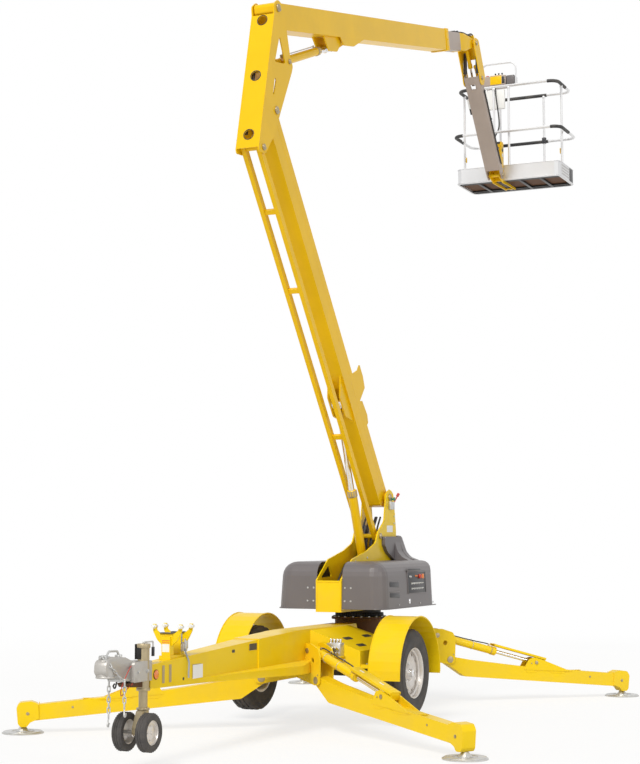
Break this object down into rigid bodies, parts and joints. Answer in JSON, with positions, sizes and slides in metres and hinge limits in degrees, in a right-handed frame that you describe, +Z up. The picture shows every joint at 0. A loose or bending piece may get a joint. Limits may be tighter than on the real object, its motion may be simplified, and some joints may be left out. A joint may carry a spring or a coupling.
{
  "type": "towable boom lift",
  "caption": "Towable articulating boom lift: drawbar chassis on road wheels, folding outriggers, slewing turret, raised lower boom, riser, telescoping upper boom, jib and railed platform.",
  "frame": {"origin": "centre of the footprint on the ground, under the four outrigger pads", "axes": "+X towards the drawbar's coupler, +Y to the machine's left, +Z up"},
  "size_m": [9.0123, 4.0126, 6.9596],
  "materials": {
    "yellow_paint": "gloss",
    "galvanized": "satin",
    "chrome": "polished",
    "cover_plastic": "satin",
    "jib_paint": "satin",
    "black_paint": "satin",
    "tyre_rubber": "matte",
    "wheel_rubber": "matte",
    "rim_paint": "satin",
    "aluminium_sheet": "satin",
    "jack_plating": "satin"
  },
  "bodies": {
    "chassis": {"chassis_frame": "yellow_paint", "axle": "black_paint", "fender_left": "yellow_paint", "fender_right": "yellow_paint", "coupler": "galvanized", "jack_mast": "jack_plating", "boom_rest": "yellow_paint", "slew_bearing": "black_paint"},
    "wheel_left": {"tyre_left": "tyre_rubber", "rim_left": "rim_paint"},
    "wheel_right": {"tyre_right": "tyre_rubber", "rim_right": "rim_paint"},
    "jack": {"jack_tube": "chrome"},
    "jockey_swivel": {"jockey_fork": "jack_plating"},
    "jockey_wheel_pair": {"jockey_wheels": "wheel_rubber"},
    "outrigger_front_left": {"front_left_leg": "yellow_paint", "front_left_pad": "galvanized"},
    "outrigger_barrel_front_left": {"front_left_barrel": "yellow_paint"},
    "outrigger_rod_front_left": {"front_left_rod": "chrome"},
    "outrigger_front_right": {"front_right_leg": "yellow_paint", "front_right_pad": "galvanized"},
    "outrigger_barrel_front_right": {"front_right_barrel": "yellow_paint"},
    "outrigger_rod_front_right": {"front_right_rod": "chrome"},
    "outrigger_rear_left": {"rear_left_leg": "yellow_paint", "rear_left_pad": "galvanized"},
    "outrigger_barrel_rear_left": {"rear_left_barrel": "yellow_paint"},
    "outrigger_rod_rear_left": {"rear_left_rod": "chrome"},
    "outrigger_rear_right": {"rear_right_leg": "yellow_paint", "rear_right_pad": "galvanized"},
    "outrigger_barrel_rear_right": {"rear_right_barrel": "yellow_paint"},
    "outrigger_rod_rear_right": {"rear_right_rod": "chrome"},
    "turret": {"turret_frame": "yellow_paint", "cover_left": "cover_plastic", "cover_right": "cover_plastic", "rear_hood": "cover_plastic"},
    "lower_boom": {"lower_boom": "yellow_paint"},
    "lift_barrel": {"lift_barrel": "yellow_paint"},
    "lift_rod": {"lift_rod": "chrome"},
    "tie_link": {"tie_link": "yellow_paint"},
    "riser": {"riser": "yellow_paint"},
    "upper_barrel": {"upper_barrel": "yellow_paint"},
    "upper_rod": {"upper_rod": "chrome"},
    "upper_boom": {"upper_boom": "yellow_paint"},
    "inner_boom": {"inner_boom": "jib_paint"},
    "knuckle": {"knuckle": "yellow_paint", "jib_barrel": "yellow_paint"},
    "jib_rod": {"jib_rod": "chrome"},
    "jib": {"jib": "jib_paint"},
    "level_link": {"level_link": "yellow_paint"},
    "platform": {"platform_support": "yellow_paint", "platform_tray": "aluminium_sheet", "floor_bearers": "black_paint", "platform_rails": "galvanized", "control_console": "jib_paint"}
  },
  "joints": [
    {"name": "wheel_left_roll", "type": "hinge", "parent": "chassis", "child": "wheel_left", "pos_m": [0.912, 0.7, 0.426], "axis": [0, 1, 0], "continuous": true},
    {"name": "wheel_right_roll", "type": "hinge", "parent": "chassis", "child": "wheel_right", "pos_m": [0.912, -0.7, 0.426], "axis": [0, 1, 0], "continuous": true},
    {"name": "jack_height", "type": "slide", "parent": "chassis", "child": "jack", "axis": [0, 0, 1], "range_m": [-0.11, 0.105]},
    {"name": "jockey_swivel", "type": "hinge", "parent": "jack", "child": "jockey_swivel", "pos_m": [3.991, 0.03, 0.246], "axis": [0, 0, 1], "continuous": true},
    {"name": "jockey_roll", "type": "hinge", "parent": "jockey_swivel", "child": "jockey_wheel_pair", "pos_m": [4.066, 0.03, 0.246], "axis": [0, 1, 0], "continuous": true},
    {"name": "outrigger_fold_front_left", "type": "hinge", "parent": "chassis", "child": "outrigger_front_left", "pos_m": [1.615, 0.28, 0.405], "axis": [0.829, -0.5592, 0], "range_deg": [0, 95]},
    {"name": "outrigger_barrel_tilt_front_left", "type": "hinge", "parent": "chassis", "child": "outrigger_barrel_front_left", "pos_m": [1.54231, 0.17222, 0.632], "axis": [0.829, -0.5592, 0], "range_deg": [0, 96.54]},
    {"name": "outrigger_rod_slide_front_left", "type": "slide", "parent": "outrigger_barrel_front_left", "child": "outrigger_rod_front_left", "axis": [0.5401, 0.8008, -0.2588], "range_m": [-0.3851, 0]},
    {"name": "outrigger_fold_front_right", "type": "hinge", "parent": "chassis", "child": "outrigger_front_right", "pos_m": [1.615, -0.28, 0.405], "axis": [-0.829, -0.5592, 0], "range_deg": [0, 95]},
    {"name": "outrigger_barrel_tilt_front_right", "type": "hinge", "parent": "chassis", "child": "outrigger_barrel_front_right", "pos_m": [1.54231, -0.17222, 0.632], "axis": [-0.829, -0.5592, 0], "range_deg": [0, 96.54]},
    {"name": "outrigger_rod_slide_front_right", "type": "slide", "parent": "outrigger_barrel_front_right", "child": "outrigger_rod_front_right", "axis": [0.5401, -0.8008, -0.2588], "range_m": [-0.3851, 0]},
    {"name": "outrigger_fold_rear_left", "type": "hinge", "parent": "chassis", "child": "outrigger_rear_left", "pos_m": [-0.935, 0.4, 0.405], "axis": [0.6972, 0.7169, 0], "range_deg": [0, 95]},
    {"name": "outrigger_barrel_tilt_rear_left", "type": "hinge", "parent": "chassis", "child": "outrigger_barrel_rear_left", "pos_m": [-0.8418, 0.30937, 0.632], "axis": [0.6972, 0.7169, 0], "range_deg": [0, 96.54]},
    {"name": "outrigger_rod_slide_rear_left", "type": "slide", "parent": "outrigger_barrel_rear_left", "child": "outrigger_rod_rear_left", "axis": [-0.6925, 0.6734, -0.2588], "range_m": [-0.3851, 0]},
    {"name": "outrigger_fold_rear_right", "type": "hinge", "parent": "chassis", "child": "outrigger_rear_right", "pos_m": [-0.935, -0.4, 0.405], "axis": [-0.6972, 0.7169, 0], "range_deg": [0, 95]},
    {"name": "outrigger_barrel_tilt_rear_right", "type": "hinge", "parent": "chassis", "child": "outrigger_barrel_rear_right", "pos_m": [-0.8418, -0.30937, 0.632], "axis": [-0.6972, 0.7169, 0], "range_deg": [0, 96.54]},
    {"name": "outrigger_rod_slide_rear_right", "type": "slide", "parent": "outrigger_barrel_rear_right", "child": "outrigger_rod_rear_right", "axis": [-0.6925, -0.6734, -0.2588], "range_m": [-0.3851, 0]},
    {"name": "slew", "type": "hinge", "parent": "chassis", "child": "turret", "pos_m": [0.215, 0, 0.905], "axis": [0, 0, 1], "range_deg": [0, 359]},
    {"name": "lower_boom_raise", "type": "hinge", "parent": "turret", "child": "lower_boom", "pos_m": [-0.215, 0, 1.9], "axis": [0, -1, 0], "range_deg": [-60, 14]},
    {"name": "tie_link_raise", "type": "hinge", "parent": "turret", "child": "tie_link", "pos_m": [0.015, 0, 1.55], "axis": [0, -1, 0], "range_deg": [-60, 14]},
    {"name": "riser_level", "type": "hinge", "parent": "lower_boom", "child": "riser", "pos_m": [2.12186, 0, 4.93447], "axis": [0, -1, 0], "range_deg": [-14, 60]},
    {"name": "lift_barrel_tilt", "type": "hinge", "parent": "turret", "child": "lift_barrel", "pos_m": [-0.005, 0, 0.98], "axis": [0, -1, 0], "range_deg": [-36.71, 8.6]},
    {"name": "lift_rod_slide", "type": "slide", "parent": "lift_barrel", "child": "lift_rod", "axis": [0.3706, 0, 0.9288], "range_m": [-0.74885, 0.17481]},
    {"name": "upper_boom_raise", "type": "hinge", "parent": "riser", "child": "upper_boom", "pos_m": [2.09886, 0, 5.78247], "axis": [0, 1, 0], "range_deg": [-13.3, 57]},
    {"name": "upper_barrel_tilt", "type": "hinge", "parent": "riser", "child": "upper_barrel", "pos_m": [1.88686, 0, 5.39647], "axis": [0, 1, 0], "range_deg": [-12.3, 52.56]},
    {"name": "upper_rod_slide", "type": "slide", "parent": "upper_barrel", "child": "upper_rod", "axis": [-0.9256, 0, 0.3785], "range_m": [-0.09676, 0.41437]},
    {"name": "boom_extend", "type": "slide", "parent": "upper_boom", "child": "inner_boom", "axis": [-0.9732, 0, 0.23], "range_m": [0, 2.4]},
    {"name": "knuckle_level", "type": "hinge", "parent": "inner_boom", "child": "knuckle", "pos_m": [-2.82023, 0, 6.88158], "axis": [0, 1, 0], "range_deg": [-57, 13.3]},
    {"name": "jib_raise", "type": "hinge", "parent": "knuckle", "child": "jib", "pos_m": [-3.00023, 0, 6.54158], "axis": [0, 1, 0], "range_deg": [-20, 110]},
    {"name": "jib_rod_slide", "type": "slide", "parent": "knuckle", "child": "jib_rod", "axis": [-0.5473, 0, -0.8369], "range_m": [-0.14824, 0.02704]},
    {"name": "level_link_raise", "type": "hinge", "parent": "knuckle", "child": "level_link", "pos_m": [-2.99323, 0.03, 6.67158], "axis": [0, 1, 0], "range_deg": [-20, 110]},
    {"name": "platform_level", "type": "hinge", "parent": "jib", "child": "platform", "pos_m": [-3.74177, 0, 5.61599], "axis": [0, 1, 0], "range_deg": [-110, 20]}
  ],
  "couplings": [
    {"joint": "outrigger_barrel_tilt_front_left", "follows": "outrigger_fold_front_left", "ratio": 1.0157},
    {"joint": "outrigger_rod_slide_front_left", "follows": "outrigger_fold_front_left", "m_per_rad": -0.2322},
    {"joint": "outrigger_barrel_tilt_front_right", "follows": "outrigger_fold_front_right", "ratio": 1.0157},
    {"joint": "outrigger_rod_slide_front_right", "follows": "outrigger_fold_front_right", "m_per_rad": -0.2322},
    {"joint": "outrigger_barrel_tilt_rear_left", "follows": "outrigger_fold_rear_left", "ratio": 1.0157},
    {"joint": "outrigger_rod_slide_rear_left", "follows": "outrigger_fold_rear_left", "m_per_rad": -0.2322},
    {"joint": "outrigger_barrel_tilt_rear_right", "follows": "outrigger_fold_rear_right", "ratio": 1.0157},
    {"joint": "outrigger_rod_slide_rear_right", "follows": "outrigger_fold_rear_right", "m_per_rad": -0.2322},
    {"joint": "tie_link_raise", "follows": "lower_boom_raise", "ratio": 1},
    {"joint": "riser_level", "follows": "lower_boom_raise", "ratio": -1},
    {"joint": "lift_barrel_tilt", "follows": "lower_boom_raise", "ratio": 0.611},
    {"joint": "lift_rod_slide", "follows": "lower_boom_raise", "m_per_rad": 0.715},
    {"joint": "upper_barrel_tilt", "follows": "upper_boom_raise", "ratio": 0.92129},
    {"joint": "upper_rod_slide", "follows": "upper_boom_raise", "m_per_rad": 0.41642},
    {"joint": "knuckle_level", "follows": "upper_boom_raise", "ratio": -1},
    {"joint": "jib_rod_slide", "follows": "jib_raise", "m_per_rad": -0.07716},
    {"joint": "level_link_raise", "follows": "jib_raise", "ratio": 1},
    {"joint": "platform_level", "follows": "jib_raise", "ratio": -1}
  ]
}
